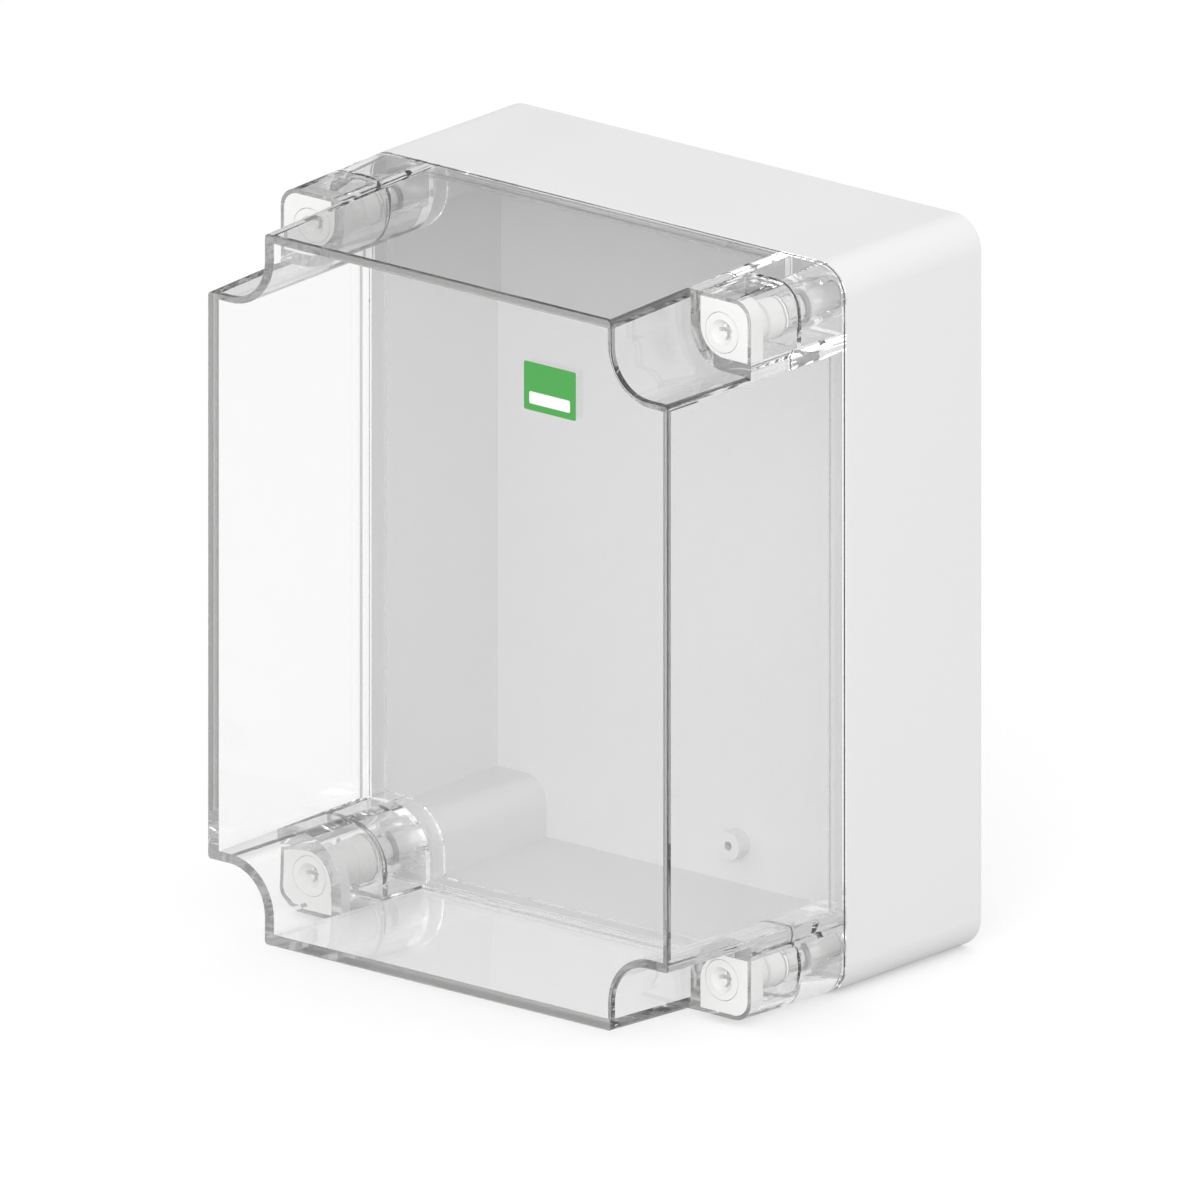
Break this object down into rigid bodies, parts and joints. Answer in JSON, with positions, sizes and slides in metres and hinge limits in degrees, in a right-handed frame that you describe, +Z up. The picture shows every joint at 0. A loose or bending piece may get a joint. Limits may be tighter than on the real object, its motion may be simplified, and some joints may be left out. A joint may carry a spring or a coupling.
{
  "type": "junction box",
  "caption": "Wall-mounted plastic junction box with a deep clear lid, captive closing screws in corner towers and a rimmed, sealed base.",
  "frame": {"origin": "centre of the flat back face, which goes against the wall", "axes": "+Z up, +X to the right of someone facing the box, +Y into the wall, so the lid faces -Y"},
  "size_m": [0.1966, 0.1482, 0.24],
  "materials": {
    "housing": "light grey, finely textured",
    "cover": "clear, polished",
    "gasket": "light grey, matt",
    "label": "green film with a blank white strip",
    "screw": "white, satin",
    "guide": "white, satin",
    "seal": "light grey silicone, matt",
    "ring": "bright spring steel"
  },
  "bodies": {
    "base": {"base_housing": "housing", "lid_gasket": "gasket"},
    "lid": {"clear_lid": "cover", "marking_label": "label", "screw_guide_top_left": "guide", "screw_guide_top_right": "guide", "screw_guide_bottom_left": "guide", "screw_guide_bottom_right": "guide", "screw_seal_top_left": "seal", "screw_seal_top_right": "seal", "screw_seal_bottom_left": "seal", "screw_seal_bottom_right": "seal"},
    "ring_top_left": {"retaining_ring_top_left": "ring"},
    "screw_top_left": {"closing_screw_top_left": "screw"},
    "ring_top_right": {"retaining_ring_top_right": "ring"},
    "screw_top_right": {"closing_screw_top_right": "screw"},
    "ring_bottom_left": {"retaining_ring_bottom_left": "ring"},
    "screw_bottom_left": {"closing_screw_bottom_left": "screw"},
    "ring_bottom_right": {"retaining_ring_bottom_right": "ring"},
    "screw_bottom_right": {"closing_screw_bottom_right": "screw"}
  },
  "joints": [
    {"name": "lid_lift", "type": "slide", "parent": "base", "child": "lid", "axis": [0, -1, 0], "range_m": [0, 0.12]},
    {"name": "screw_rise_top_left", "type": "slide", "parent": "lid", "child": "ring_top_left", "axis": [0, -1, 0], "range_m": [0, 0.008]},
    {"name": "screw_turn_top_left", "type": "hinge", "parent": "ring_top_left", "child": "screw_top_left", "pos_m": [-0.084, -0.0854, 0.10625], "axis": [0, -1, 0], "range_deg": [0, 1440]},
    {"name": "screw_rise_top_right", "type": "slide", "parent": "lid", "child": "ring_top_right", "axis": [0, -1, 0], "range_m": [0, 0.008]},
    {"name": "screw_turn_top_right", "type": "hinge", "parent": "ring_top_right", "child": "screw_top_right", "pos_m": [0.084, -0.0854, 0.10625], "axis": [0, -1, 0], "range_deg": [0, 1440]},
    {"name": "screw_rise_bottom_left", "type": "slide", "parent": "lid", "child": "ring_bottom_left", "axis": [0, -1, 0], "range_m": [0, 0.008]},
    {"name": "screw_turn_bottom_left", "type": "hinge", "parent": "ring_bottom_left", "child": "screw_bottom_left", "pos_m": [-0.084, -0.0854, -0.10625], "axis": [0, -1, 0], "range_deg": [0, 1440]},
    {"name": "screw_rise_bottom_right", "type": "slide", "parent": "lid", "child": "ring_bottom_right", "axis": [0, -1, 0], "range_m": [0, 0.008]},
    {"name": "screw_turn_bottom_right", "type": "hinge", "parent": "ring_bottom_right", "child": "screw_bottom_right", "pos_m": [0.084, -0.0854, -0.10625], "axis": [0, -1, 0], "range_deg": [0, 1440]}
  ],
  "couplings": [
    {"joint": "screw_rise_top_left", "follows": "screw_turn_top_left", "m_per_rad": 0.0003183},
    {"joint": "screw_rise_top_right", "follows": "screw_turn_top_right", "m_per_rad": 0.0003183},
    {"joint": "screw_rise_bottom_left", "follows": "screw_turn_bottom_left", "m_per_rad": 0.0003183},
    {"joint": "screw_rise_bottom_right", "follows": "screw_turn_bottom_right", "m_per_rad": 0.0003183}
  ]
}
